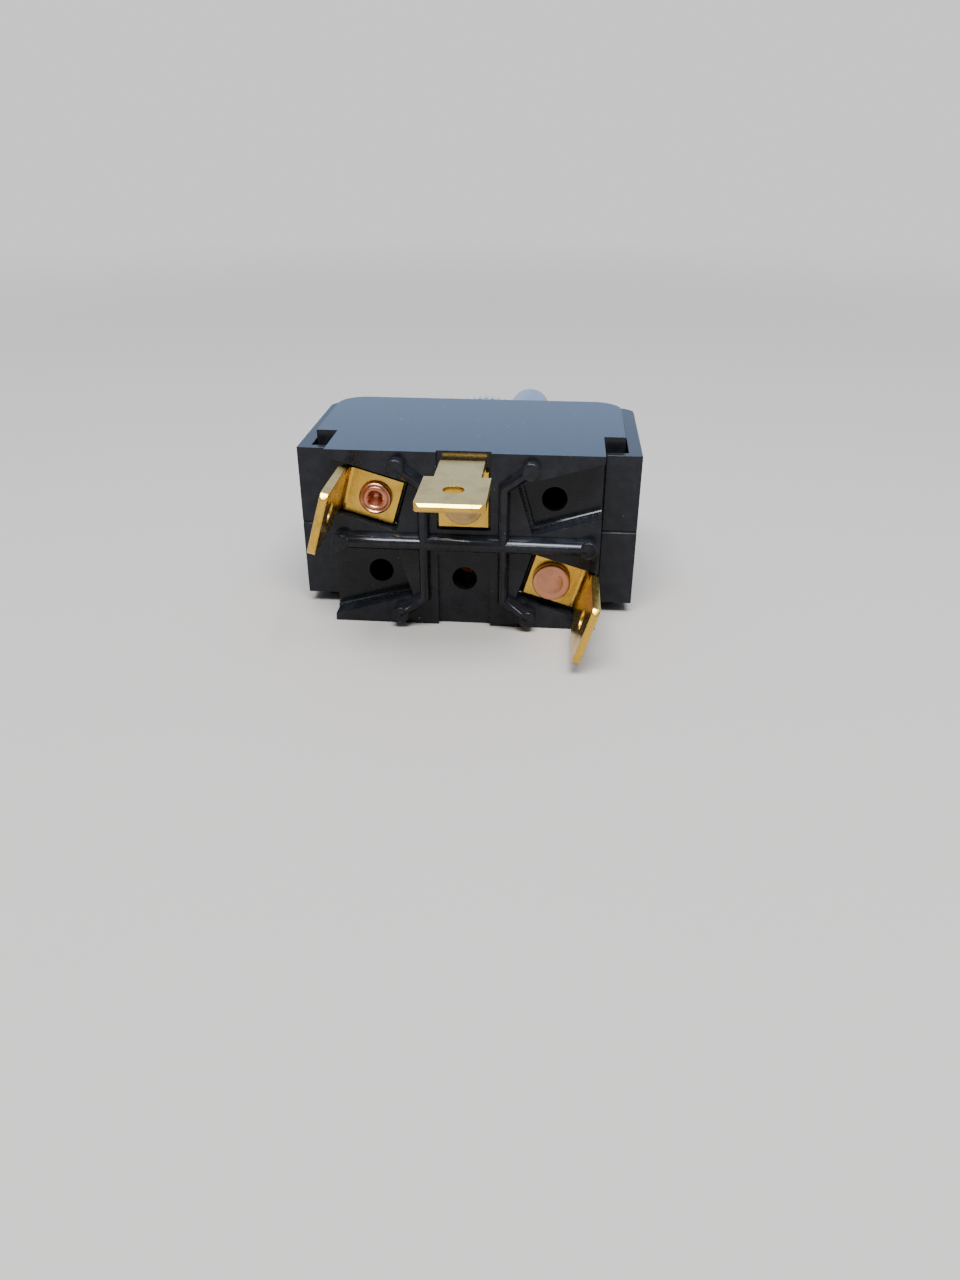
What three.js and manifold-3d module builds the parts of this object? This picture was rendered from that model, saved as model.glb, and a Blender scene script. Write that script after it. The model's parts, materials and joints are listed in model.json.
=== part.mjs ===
// Enclosed toggle switch with three riveted blade terminals, in millimetres.
//
// Design frame: X runs along the long side, Y from the rear (terminals) to the front (lever),
// Z across the two terminal rows. The moulded rear face is at Y = 0, the body is centred on X and Z.
// At the end the whole group is set down on its long side, with the origin under its middle.
import * as THREE from "three";
import { mergeVertices } from "three/addons/utils/BufferGeometryUtils.js";
import Module from "manifold-3d";

const wasm = await Module();
wasm.setup();

// ---------------------------------------------------------------- driving dimensions

const seatGap = 0.1; // between faces that rest on each other
const runGap = 0.3; // between pieces that move past each other

// moulded base
const bodyWidth = 32.3;
const bodyHeight = 19.0;
const bodyDepth = 20.5;
const bodyCornerRadius = 3.0;
const sideStep = 2.25; // the boss is this much narrower than the body at each end
const reliefDepth = 1.3; // the shoulder's corners lie this much deeper than its middle
const reliefHeight = 4.0;
const cavityFloor = 5.0; // Y of the inner floor behind the terminals
const cavityStep = 8.2; // Y where the cavity widens
const sideWall = 1.9;
const bossWall = 1.6;
const halfHeight = bodyHeight / 2;
const bodyHalf = bodyWidth / 2;
const bossHalf = bodyHalf - sideStep;

// terminal positions
const rivetFromBossEnd = 4.8;
const rivetFromSide = 5.2;
const columnPitch = bossHalf - rivetFromBossEnd;
const rowOffset = halfHeight - rivetFromSide;
const rivetHoleRadius = 1.28;
const cornerTilt = THREE.MathUtils.degToRad(16.5);
const cornerPocketDepth = 2.0;
const cornerPocketInner = 3.0; // from the rivet to the pocket's inner end wall
const cornerPocketNear = 2.6; // from the rivet to the wall beside the middle rib
const cornerPocketFar = 2.9; // from the rivet to the wall beside the body's edge
const centrePocketDepth = 0.6;
const centrePocketWidth = 5.5;
const centrePocketStart = 1.4; // from the body's middle to the pocket's inner end

// ribs on the rear face
const ribHeight = 1.3;
const longRibRadius = 0.85;
const longRibReach = bossHalf - 1.2;
const crossRibRadius = 0.68;
const crossRibX = 4.1;
const ribPadX = 6.7;
const ribPadZ = halfHeight - 1.45;
const crossRibReach = ribPadZ - 1.95; // where the cross ribs turn aside to their pads
const ribPadRadius = 0.9;

// sheet-steel mounting frame
const frameThickness = 1.4;
const frameSetIn = 1.2; // the frame is this much narrower than the body on each side
const frameHeight = bodyHeight - 2 * frameSetIn;
const lipY = 4.3; // rear face of the lips
const lipThickness = 0.9;
const frameBendRadius = 1.7;
const lipGroove = 0.25;
const insulatorThickness = 0.4;

// bushing, nuts and washers
const threadRadius = 5.95;
const bushingLength = 11.9;
const threadClearance = 0.17; // between the thread's crests and a nut's bore
const threadLeadIn = 0.5;
const threadLeadInLength = 0.6;
const mouthWall = 1.1; // thread radius to the bore's edge at the bushing's front end
const bushingShankRadius = threadRadius - 0.75;
const flangeToWall = 0.6; // between the flange and the cavity's side walls
const bushingFlangeRadius = halfHeight - sideWall - flangeToWall;
const bushingFlangeThickness = 1.3;
const seatMouth = 0.7; // how much the ball seat opens towards the flange
const keywayWidth = 1.6;
const keywayDepth = 0.7;
const nutBoreRadius = threadRadius + threadClearance;
const locatingWasherRadius = nutBoreRadius + 1.48;
const locatingWasherThickness = 0.8;
const lockWasherRadius = nutBoreRadius + 1.18;
const lockWasherThickness = 0.5;
const lockWasherTeeth = 12;
const lockWasherTooth = 0.7;
const hexNutWidth = 2 * (nutBoreRadius + 1.03);
const hexNutThickness = 2.2;
const hexNutBevel = 0.35;
const faceNutRadius = nutBoreRadius + 1.38;
const faceNutThickness = 1.8;
const faceNutBevel = 0.3;
const panelThickness = 2.0; // the nuts stand apart as they do on a panel

// lever
const pivotAbovePlate = 2.3; // lever pivot in front of the frame's front face
const leverTilt = THREE.MathUtils.degToRad(10);
const plungerRadius = 1.5;
const barrelBoreRadius = plungerRadius + runGap;
const barrelRadius = barrelBoreRadius + 0.9;
const ballRadius = barrelRadius + 0.8;
const stemRadius = 2.1;
const neckClearance = 1.0; // stem to the narrowest part of the bushing's bore
const tipRadius = 2.9;
const tipReach = 27.9; // pivot to the centre of the rounded tip
const barrelReach = 11.0;
const barrelBoreEnd = 1.6; // from the pivot to the bottom of the bore
const pinRadius = 0.8;
const pinLength = 2 * (threadRadius - 1.25);

// plunger and spring
const plungerTop = 7.0; // from the pivot to the plunger's flat end
const springWire = 0.22;
const springClearance = 0.33;
const springRadius = barrelBoreRadius - springWire - springClearance;
const springTurns = 6;

// rocker and contacts
const rockerRatio = 0.8; // the rocker's turn for each degree of the lever's
const rockerTilt = leverTilt * rockerRatio;
const rockerThickness = 0.9;
const rockerLift = 0.35; // pivot edge to the rocker's underside
const rockerArm = 7.5;
const trunnionHalfWidth = 0.7;
const trunnionLength = 1.3;
const contactReach = 6.0;
const contactRadius = 1.35;
const rockerMargin = 0.15;
const rockerHalfWidth = rowOffset + contactRadius + rockerMargin;
const contactThickness = 0.6;
const contactShankRadius = 0.7;
const stripThickness = 0.8;
const stripHalfWidth = 1.7;
const stripEnd = 0.4;
const bracketHalf = 2.2;
const notchClearance = 0.6;
const plungerGap = 0.2;

// terminals
const sheet = 0.81;
const bendRadius = 0.5;
const bladeWidth = 6.35;
const bladeLength = 8.0;
const bladeHoleRadius = 1.0;
const bladeHoleFromTip = 3.9;
const bladeCorner = 0.5;
const sideBaseWidth = 4.75;
const sideBaseInner = 2.45; // from the rivet to the plate's free end
const sideBendReach = 4.05; // from the rivet to the blade's outer face
const sideShoulder = 1.9; // the blade's shoulders stand this far behind the rear face
const centreBaseWidth = 5.0;
const centreNeckWidth = 4.45;
const centreBaseInner = 2.4;
const centreBendReach = 4.66;
const centreShoulder = 5.6;
const centreBladeLength = 7.4;
const rivetShankRadius = 1.12;
const rivetInnerRadius = 1.35;
const rivetInnerThickness = 0.5;

// ---------------------------------------------------------------- places worked out from them

const shoulderY = lipY + lipThickness + seatGap;
const insulatorY = bodyDepth + seatGap;
const plateY = insulatorY + insulatorThickness + seatGap;
const plateFront = plateY + frameThickness;
const frameHalf = bodyHalf + runGap + frameThickness;
const pivotY = plateFront + pivotAbovePlate;
const bushingEnd = plateFront + bushingLength;
const leverClearance = ballRadius + runGap;
const stripY = cavityFloor + seatGap;
const stripTop = stripY + stripThickness;
const fixedContactTop = stripTop + seatGap + contactThickness;
const armUnderside = fixedContactTop + seatGap + contactThickness + seatGap;
const rockerTop = rockerLift + rockerThickness;
const rockerPivotY = armUnderside + rockerThickness - rockerTop * Math.cos(rockerTilt);
const fixedContactX = contactReach + rockerTop * Math.sin(rockerTilt);
const plungerTip = pivotY - rockerPivotY - rockerTop - plungerGap - plungerRadius;

// ---------------------------------------------------------------- solids

function solid(geometry) {
  const bare = geometry.index ? geometry.toNonIndexed() : geometry.clone();
  bare.deleteAttribute("normal");
  bare.deleteAttribute("uv");
  const merged = mergeVertices(bare, 1e-5);
  const index = merged.index.array;
  const faces = [];
  for (let i = 0; i < index.length; i += 3) {
    const [a, b, c] = [index[i], index[i + 1], index[i + 2]];
    if (a !== b && b !== c && c !== a) faces.push(a, b, c);
  }
  return new wasm.Manifold(
    new wasm.Mesh({
      numProp: 3,
      vertProperties: merged.getAttribute("position").array,
      triVerts: new Uint32Array(faces),
    }),
  );
}

function geometryOf(body) {
  const mesh = body.getMesh();
  const geometry = new THREE.BufferGeometry();
  geometry.setAttribute("position", new THREE.BufferAttribute(mesh.vertProperties, mesh.numProp));
  geometry.setIndex(new THREE.BufferAttribute(mesh.triVerts, 1));
  geometry.computeVertexNormals();
  return geometry;
}

function moved(geometry, { turnX = 0, turnY = 0, turnZ = 0, at = [0, 0, 0] }) {
  return geometry.rotateX(turnX).rotateY(turnY).rotateZ(turnZ).translate(...at);
}

function block(x0, x1, y0, y1, z0, z1) {
  const box = new THREE.BoxGeometry(x1 - x0, y1 - y0, z1 - z0);
  return solid(box.translate((x0 + x1) / 2, (y0 + y1) / 2, (z0 + z1) / 2));
}

// A body of revolution about Y, from [radius, y] pairs that start and end on the axis or close a ring.
function turned(profile, segments = 32, place = {}) {
  const points = profile.map(([r, y]) => new THREE.Vector2(r, y));
  if (THREE.ShapeUtils.area(points) < 0) points.reverse();
  const ring = points.every((p) => p.x > 0);
  if (ring) points.push(points[0].clone());
  return solid(moved(new THREE.LatheGeometry(points, segments), place));
}

function rod(radius, y0, y1, segments = 24, place = {}) {
  return turned([[0, y0], [radius, y0], [radius, y1], [0, y1]], segments, place);
}

// A flat outline in X and Y, extruded along Z.
function alongZ(shape, z0, z1, curveSegments = 8) {
  const settings = { depth: z1 - z0, bevelEnabled: false, curveSegments };
  return solid(new THREE.ExtrudeGeometry(shape, settings).translate(0, 0, z0));
}

// A flat outline in X and Z, extruded along Y.
function alongY(shape, y0, y1, curveSegments = 8) {
  const settings = { depth: y1 - y0, bevelEnabled: false, curveSegments };
  return solid(new THREE.ExtrudeGeometry(shape, settings).rotateX(Math.PI / 2).translate(0, y1, 0));
}

function shapeOf(points) {
  return new THREE.Shape(points.map(([x, y]) => new THREE.Vector2(x, y)));
}

// A bar with round ends between two points of the XZ plane.
function bar(x0, z0, x1, z1, radius, y0, y1) {
  const length = Math.hypot(x1 - x0, z1 - z0);
  const shape = new THREE.Shape();
  shape.absarc(0, 0, radius, Math.PI / 2, 1.5 * Math.PI);
  shape.absarc(length, 0, radius, -Math.PI / 2, Math.PI / 2);
  shape.closePath();
  const settings = { depth: y1 - y0, bevelEnabled: false, curveSegments: 8 };
  const geometry = new THREE.ExtrudeGeometry(shape, settings).rotateX(Math.PI / 2).translate(0, y1, 0);
  return solid(moved(geometry, { turnY: -Math.atan2(z1 - z0, x1 - x0), at: [x0, 0, z0] }));
}

function piece(name, body, colour, roughness, metalness) {
  const material = new THREE.MeshStandardMaterial({ color: colour, roughness, metalness });
  const mesh = new THREE.Mesh(geometryOf(body), material);
  mesh.name = name;
  return mesh;
}

// ---------------------------------------------------------------- moulded base

function bodyBlank() {
  const r = bodyCornerRadius;
  const outline = new THREE.Shape();
  outline.moveTo(-bossHalf, 0);
  outline.lineTo(bossHalf, 0);
  outline.lineTo(bossHalf, shoulderY);
  outline.lineTo(bodyHalf, shoulderY);
  outline.lineTo(bodyHalf, bodyDepth - r);
  outline.absarc(bodyHalf - r, bodyDepth - r, r, 0, Math.PI / 2);
  outline.lineTo(r - bodyHalf, bodyDepth);
  outline.absarc(r - bodyHalf, bodyDepth - r, r, Math.PI / 2, Math.PI);
  outline.lineTo(-bodyHalf, shoulderY);
  outline.lineTo(-bossHalf, shoulderY);
  outline.closePath();
  return alongZ(outline, -halfHeight, halfHeight);
}

function cavity() {
  const z = halfHeight - sideWall;
  const narrow = bossHalf - bossWall;
  const wide = bodyHalf - bossWall;
  return block(-narrow, narrow, cavityFloor, bodyDepth + 1, -z, z)
    .add(block(-wide, wide, cavityStep, bodyDepth + 1, -z, z));
}

function cornerReliefs() {
  const deep = shoulderY + reliefDepth;
  const low = halfHeight - reliefHeight;
  const cuts = [];
  for (const x of [-1, 1]) {
    for (const z of [-1, 1]) {
      const xs = [x * bossHalf, x * (bodyHalf + 1)].sort((a, b) => a - b);
      const zs = [z * low, z * (halfHeight + 1)].sort((a, b) => a - b);
      cuts.push(block(...xs, shoulderY - 1, deep, ...zs));
    }
  }
  return cuts;
}

// The pocket for a terminal at one corner; right and up are 1 or -1.
function cornerPocket(right, up) {
  const near = up * right > 0 ? -cornerPocketNear : -cornerPocketFar;
  const far = up * right > 0 ? cornerPocketFar : cornerPocketNear;
  const box = new THREE.BoxGeometry(1, 1, 1);
  const reach = bossHalf;
  box.scale(cornerPocketInner + reach, cornerPocketDepth + 1, far - near);
  box.translate((reach - cornerPocketInner) / 2, (cornerPocketDepth - 1) / 2, (far + near) / 2);
  return solid(moved(box, { turnY: cornerTurn(right, up), at: rivetPlace(right, up) }));
}

function cornerTurn(right, up) {
  return right > 0 ? -up * cornerTilt : Math.PI + up * cornerTilt;
}

function rivetPlace(column, up) {
  return [column * columnPitch, 0, up * rowOffset];
}

function ribs() {
  const [y0, y1] = [-ribHeight, seatGap];
  const z = crossRibReach;
  let all = bar(-longRibReach, 0, longRibReach, 0, longRibRadius, y0, y1);
  for (const side of [-1, 1]) {
    const x = side * crossRibX;
    all = all.add(bar(x, -z, x, z, crossRibRadius, y0, y1));
    for (const end of [-1, 1]) {
      all = all.add(bar(x, end * z, side * ribPadX, end * ribPadZ, crossRibRadius, y0, y1));
      all = all.add(rod(ribPadRadius, y0, y1, 24, { at: [side * ribPadX, 0, end * ribPadZ] }));
    }
    all = all.add(rod(ribPadRadius, y0, y1, 24, { at: [side * longRibReach, 0, 0] }));
  }
  return all;
}

function terminalBase() {
  let body = bodyBlank().subtract(cavity()).add(ribs());
  for (const cut of cornerReliefs()) body = body.subtract(cut);
  const half = centrePocketWidth / 2;
  for (const up of [-1, 1]) {
    const zs = [up * centrePocketStart, up * (halfHeight + 1)].sort((a, b) => a - b);
    body = body.subtract(block(-half, half, -0.5, centrePocketDepth, ...zs));
    for (const right of [-1, 1]) body = body.subtract(cornerPocket(right, up));
    for (const column of [-1, 0, 1]) {
      body = body.subtract(rod(rivetHoleRadius, -1, cavityFloor + 1, 24, { at: rivetPlace(column, up) }));
    }
  }
  return body;
}

// ---------------------------------------------------------------- frame, insulator and bushing

function mountingFrame() {
  const outer = frameHalf;
  const inner = bodyHalf + runGap;
  const r = frameBendRadius;
  const lipInner = bossHalf + runGap;
  const outline = new THREE.Shape();
  outline.moveTo(-lipInner, lipY);
  outline.lineTo(-outer, lipY);
  outline.lineTo(-outer, plateFront - r);
  outline.absarc(r - outer, plateFront - r, r, Math.PI, Math.PI / 2, true);
  outline.lineTo(outer - r, plateFront);
  outline.absarc(outer - r, plateFront - r, r, Math.PI / 2, 0, true);
  outline.lineTo(outer, lipY);
  outline.lineTo(lipInner, lipY);
  outline.lineTo(lipInner, lipY + lipThickness);
  outline.lineTo(inner, lipY + lipThickness);
  outline.lineTo(inner, plateY);
  outline.lineTo(-inner, plateY);
  outline.lineTo(-inner, lipY + lipThickness);
  outline.lineTo(-lipInner, lipY + lipThickness);
  outline.closePath();
  const hole = rod(bushingShankRadius + seatGap, plateY - 1, plateFront + 1, 48);
  let frame = alongZ(outline, -frameHeight / 2, frameHeight / 2).subtract(hole);
  for (const side of [-1, 1]) {
    const xs = [side * (lipInner - 1), side * (outer + 1)].sort((a, b) => a - b);
    const g = lipGroove;
    frame = frame.subtract(block(...xs, lipY - 1, lipY + g / 2, -g / 2, g / 2));
  }
  return frame;
}

function insulatorSheet() {
  const half = bodyHalf - bodyCornerRadius / 2;
  const z = frameHeight / 2;
  return block(-half, half, insulatorY, insulatorY + insulatorThickness, -z, z)
    .subtract(rod(bushingShankRadius + runGap, insulatorY - 1, plateY + 1, 48));
}

function bushing() {
  const flangeFront = insulatorY - seatGap - seatGap;
  const flangeRear = flangeFront - bushingFlangeThickness;
  const c = leverClearance;
  const neck = stemRadius + neckClearance;
  const neckY = pivotY + Math.sqrt(c * c - neck * neck);
  const seat = [];
  const arcSteps = 6;
  const arcEnd = Math.atan2(neckY - pivotY, neck);
  for (let i = 0; i <= arcSteps; i++) {
    const a = (arcEnd * (arcSteps - i)) / arcSteps;
    seat.push([c * Math.cos(a), pivotY + c * Math.sin(a)]);
  }
  const shell = turned(
    [
      [bushingFlangeRadius, flangeRear],
      [bushingFlangeRadius, flangeFront],
      [bushingShankRadius, flangeFront],
      [bushingShankRadius, plateFront + seatGap],
      [threadRadius, plateFront + seatGap],
      [threadRadius, bushingEnd - threadLeadInLength],
      [threadRadius - threadLeadIn, bushingEnd],
      [threadRadius - mouthWall, bushingEnd],
      ...seat,
      [leverClearance + seatMouth, flangeRear],
    ],
    48,
  );
  const z = threadRadius - keywayDepth;
  const keyway = block(-keywayWidth / 2, keywayWidth / 2, plateFront, bushingEnd + 1, z, z + 2);
  const pinHole = rod(pinRadius + runGap, -pinLength / 2 - seatGap, pinLength / 2 + seatGap, 16, {
    turnX: Math.PI / 2,
    at: [0, pivotY, 0],
  });
  return shell.subtract(keyway).subtract(pinHole);
}

// ---------------------------------------------------------------- washers and nuts

const locatingWasherY = plateFront + 2 * seatGap;
const lockWasherY = locatingWasherY + locatingWasherThickness + 2 * seatGap;
const hexNutY = lockWasherY + lockWasherThickness + 2 * seatGap;
const faceNutY = hexNutY + hexNutThickness + panelThickness + 2 * seatGap;

function ringShape(points, hole) {
  const shape = shapeOf(points);
  shape.holes.push(new THREE.Path(hole.map(([x, y]) => new THREE.Vector2(x, y))));
  return shape;
}

function circlePoints(radius, count, radiusAt = () => radius) {
  return Array.from({ length: count }, (_, i) => {
    const a = (2 * Math.PI * i) / count;
    return [radiusAt(i) * Math.cos(a), radiusAt(i) * Math.sin(a)];
  });
}

function locatingWasher() {
  const [y0, y1] = [locatingWasherY, locatingWasherY + locatingWasherThickness];
  const outer = locatingWasherRadius;
  const ring = turned([[nutBoreRadius, y0], [outer, y0], [outer, y1], [nutBoreRadius, y1]], 48);
  const tongueEnd = threadRadius - keywayDepth + seatGap;
  const tongueHalf = keywayWidth / 2 - 2 * seatGap;
  return ring.add(block(-tongueHalf, tongueHalf, y0, y1, tongueEnd, nutBoreRadius + 0.3));
}

function lockWasher() {
  const outer = circlePoints(lockWasherRadius, 48);
  const toothed = circlePoints(0, lockWasherTeeth * 2, (i) => nutBoreRadius + (i % 2) * lockWasherTooth);
  return alongY(ringShape(outer, toothed), lockWasherY, lockWasherY + lockWasherThickness);
}

function hexNut() {
  const y0 = hexNutY;
  const y1 = y0 + hexNutThickness;
  const corner = hexNutWidth / Math.sqrt(3);
  const bevel = hexNutBevel;
  const outline = shapeOf(circlePoints(corner, 6));
  const chamfer = turned(
    [
      [0, y0],
      [hexNutWidth / 2, y0],
      [corner, y0 + bevel],
      [corner, y1 - bevel],
      [hexNutWidth / 2, y1],
      [0, y1],
    ],
    48,
  );
  return alongY(outline, y0, y1).intersect(chamfer).subtract(rod(nutBoreRadius, y0 - 1, y1 + 1, 48));
}

function faceNut() {
  const y0 = faceNutY;
  const y1 = y0 + faceNutThickness;
  const r = faceNutRadius;
  const bevel = faceNutBevel;
  return turned(
    [
      [nutBoreRadius, y0],
      [r - bevel, y0],
      [r, y0 + bevel],
      [r, y1 - bevel],
      [r - bevel, y1],
      [nutBoreRadius, y1],
    ],
    48,
  );
}

// ---------------------------------------------------------------- lever, plunger and spring
// These are drawn upright with the pivot at the origin; their group is tilted.

function arc(radius, centre, from, to, steps) {
  return Array.from({ length: steps + 1 }, (_, i) => {
    const a = from + ((to - from) * i) / steps;
    return [radius * Math.cos(a), centre + radius * Math.sin(a)];
  });
}

function toggleLever() {
  const lower = -Math.acos(barrelRadius / ballRadius);
  const upper = Math.acos(stemRadius / ballRadius);
  const body = turned(
    [
      [0, -barrelBoreEnd],
      [barrelBoreRadius, -barrelBoreEnd],
      [barrelBoreRadius, -barrelReach],
      [barrelRadius, -barrelReach],
      ...arc(ballRadius, 0, lower, upper, 10),
      [stemRadius, bushingLength * 0.75],
      [tipRadius * 0.93, tipReach - 5],
      ...arc(tipRadius, tipReach, 0, Math.PI / 2, 7).slice(0, -1),
      [0, tipReach + tipRadius],
    ],
    32,
  );
  return body.subtract(rod(pinRadius + runGap, -ballRadius - 1, ballRadius + 1, 16, { turnX: Math.PI / 2 }));
}

function leverPivotPin() {
  return rod(pinRadius, -pinLength / 2, pinLength / 2, 16, { turnX: Math.PI / 2, at: [0, pivotY, 0] });
}

function plunger() {
  return turned(
    [
      [0, -plungerTop],
      [plungerRadius, -plungerTop],
      ...arc(plungerRadius, -plungerTip, 0, -Math.PI / 2, 6).slice(0, -1),
      [0, -plungerTip - plungerRadius],
    ],
    24,
  );
}

class SpringPath extends THREE.Curve {
  getPoint(t, target = new THREE.Vector3()) {
    const start = -plungerTop + springWire + seatGap;
    const rise = plungerTop - barrelBoreEnd - 2 * (springWire + seatGap);
    const a = 2 * Math.PI * springTurns * t;
    return target.set(springRadius * Math.cos(a), start + rise * t, springRadius * Math.sin(a));
  }
}

function plungerSpring() {
  const round = new THREE.EllipseCurve(0, 0, springWire, springWire);
  const wire = new THREE.Shape(round.getPoints(8).slice(0, -1));
  return solid(new THREE.ExtrudeGeometry(wire, { extrudePath: new SpringPath(), steps: springTurns * 12 }));
}

// ---------------------------------------------------------------- rocker and contacts
// The rocker is drawn level with its pivot edge at the origin; its group is tilted.

function contactRocker() {
  const rise = Math.tan(rockerTilt);
  const end = rockerArm * Math.cos(rockerTilt);
  const vee = shapeOf([
    [0, rockerLift],
    [end, rockerLift + end * rise],
    [end, rockerTop + end * rise],
    [0, rockerTop],
    [-end, rockerTop + end * rise],
    [-end, rockerLift + end * rise],
  ]);
  const reach = rockerHalfWidth + trunnionLength;
  const t = trunnionHalfWidth;
  let body = alongZ(vee, -rockerHalfWidth, rockerHalfWidth)
    .add(block(-t, t, rockerLift + t * rise, rockerTop, -reach, reach));
  for (const side of [-1, 1]) {
    const place = contactPlace(side);
    body = body.subtract(rod(contactShankRadius + seatGap, -2, 2, 16, place));
  }
  return body;
}

// Where a moving contact sits on the rocker: on the left arm in the upper row, on the right arm in the lower.
function contactPlace(side) {
  const level = new THREE.Vector2(side * contactReach, rockerLift);
  const place = level.rotateAround(new THREE.Vector2(0, rockerLift), side * rockerTilt);
  return { turnZ: side * rockerTilt, at: [place.x, place.y, -side * rowOffset] };
}

// A silver button with its shank through the piece that carries it; the head is on the -Y side.
function contactButton(carrierThickness, place) {
  const face = -seatGap - contactThickness;
  return turned(
    [
      [0, face],
      [contactRadius - 0.25, face],
      [contactRadius, face + 0.25],
      [contactRadius, -seatGap],
      [contactShankRadius, -seatGap],
      [contactShankRadius, carrierThickness],
      [0, carrierThickness],
    ],
    20,
    place,
  );
}

function fixedStrip(side) {
  const z = -side * rowOffset;
  const ends = [fixedContactX - stripHalfWidth, columnPitch + stripHalfWidth + stripEnd];
  const xs = ends.map((x) => side * x).sort((a, b) => a - b);
  return block(...xs, stripY, stripTop, z - stripHalfWidth, z + stripHalfWidth)
    .subtract(rod(rivetHoleRadius, 0, 9, 24, { at: rivetPlace(side, -side) }))
    .subtract(rod(contactShankRadius + seatGap, 0, 9, 16, { at: [side * fixedContactX, 0, z] }));
}

function fixedContact(side) {
  return contactButton(stripThickness, {
    turnX: Math.PI,
    at: [side * fixedContactX, stripTop, -side * rowOffset],
  });
}

function fulcrumBracket() {
  const half = bracketHalf;
  const earStart = rockerHalfWidth + runGap;
  const earEnd = earStart + stripThickness;
  const notchHalf = trunnionHalfWidth + notchClearance;
  let bracket = block(-half, half, stripY, stripTop, -earEnd, earEnd);
  for (const side of [-1, 1]) {
    const zs = [side * earStart, side * earEnd].sort((a, b) => a - b);
    bracket = bracket
      .add(block(-half, half, stripY, rockerPivotY + rockerTop, ...zs))
      .subtract(block(-notchHalf, notchHalf, rockerPivotY, rockerPivotY + 5, ...zs));
  }
  for (const up of [-1, 1]) {
    bracket = bracket.subtract(rod(rivetHoleRadius, 0, 9, 24, { at: rivetPlace(0, up) }));
  }
  return bracket;
}

// ---------------------------------------------------------------- terminals and rivets

// An L-shaped terminal drawn with its plate along +X from the rivet at the origin, and its blade towards -Y.
function terminal({ baseWidth, neckWidth, inner, bend, floor, shoulder, length, turn, at }) {
  const low = floor - seatGap;
  const high = low - sheet;
  const r = bendRadius;
  const R = r + sheet;
  const tip = -shoulder - length;
  const profile = new THREE.Shape();
  profile.moveTo(-inner, low);
  profile.lineTo(-inner, high);
  profile.lineTo(bend - R, high);
  profile.absarc(bend - R, high - r, r, Math.PI / 2, 0, true);
  profile.lineTo(bend - sheet, tip);
  profile.lineTo(bend, tip);
  profile.lineTo(bend, low - R);
  profile.absarc(bend - R, low - R, R, 0, Math.PI / 2);
  profile.closePath();
  let body = alongZ(profile, -bladeWidth / 2, bladeWidth / 2);
  const far = bladeWidth;
  for (const side of [-1, 1]) {
    const edge = (half) => [side * half, side * far].sort((a, b) => a - b);
    body = body
      .subtract(block(-inner - 1, bend - R, high - 1, low + 1, ...edge(baseWidth / 2)))
      .subtract(block(bend - R, bend + 1, -shoulder, low + 1, ...edge(neckWidth / 2)));
    const corner = new THREE.BoxGeometry(4, bladeCorner * 1.5, bladeCorner * 1.5);
    corner.rotateX(Math.PI / 4).translate(bend, tip, (side * bladeWidth) / 2);
    body = body.subtract(solid(corner));
  }
  body = body
    .subtract(rod(rivetHoleRadius, high - 1, low + 1, 24))
    .subtract(rod(bladeHoleRadius, -2, 2, 20, { turnZ: Math.PI / 2, at: [bend, tip + bladeHoleFromTip, 0] }));
  return solid(moved(geometryOf(body), { turnY: turn, at }));
}

function sideTerminal(side) {
  return terminal({
    baseWidth: sideBaseWidth,
    neckWidth: sideBaseWidth,
    inner: sideBaseInner,
    bend: sideBendReach,
    floor: cornerPocketDepth,
    shoulder: sideShoulder,
    length: bladeLength,
    turn: cornerTurn(side, -side),
    at: rivetPlace(side, -side),
  });
}

function centreTerminal() {
  return terminal({
    baseWidth: centreBaseWidth,
    neckWidth: centreNeckWidth,
    inner: centreBaseInner,
    bend: centreBendReach,
    floor: centrePocketDepth,
    shoulder: centreShoulder,
    length: centreBladeLength,
    turn: -Math.PI / 2,
    at: rivetPlace(0, 1),
  });
}

// A rivet from the terminal plate, whose outer face is at plate, to the inner strip.
function rivet({ plate, headRadius, headHeight, dimple, column, up }) {
  const under = plate - seatGap;
  const top = under - headHeight;
  const inside = stripTop + seatGap;
  const end = inside + rivetInnerThickness;
  const start = dimple
    ? [[0, top + 1.1], [dimple * 0.6, top + 1.0], [dimple, top + 0.15], [dimple + 0.3, top]]
    : [[0, top]];
  return turned(
    [
      ...start,
      [headRadius - 0.3, top],
      [headRadius, top + 0.25],
      [headRadius, under],
      [rivetShankRadius, under],
      [rivetShankRadius, inside],
      [rivetInnerRadius, inside],
      [rivetInnerRadius, end],
      [0, end],
    ],
    28,
    { at: rivetPlace(column, up) },
  );
}

const sidePlate = cornerPocketDepth - seatGap - sheet;
const centrePlate = centrePocketDepth - seatGap - sheet;

// ---------------------------------------------------------------- assembly

const colours = {
  moulding: 0x17181b,
  coatedSteel: 0x1c1d20,
  steel: 0xa8abb0,
  lever: 0xb9bec4,
  brass: 0xc9a85c,
  copper: 0xb87355,
  bronze: 0xb39468,
  silver: 0xd6d6d2,
  nylon: 0xe6e2d5,
  paper: 0x54483a,
};

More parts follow.
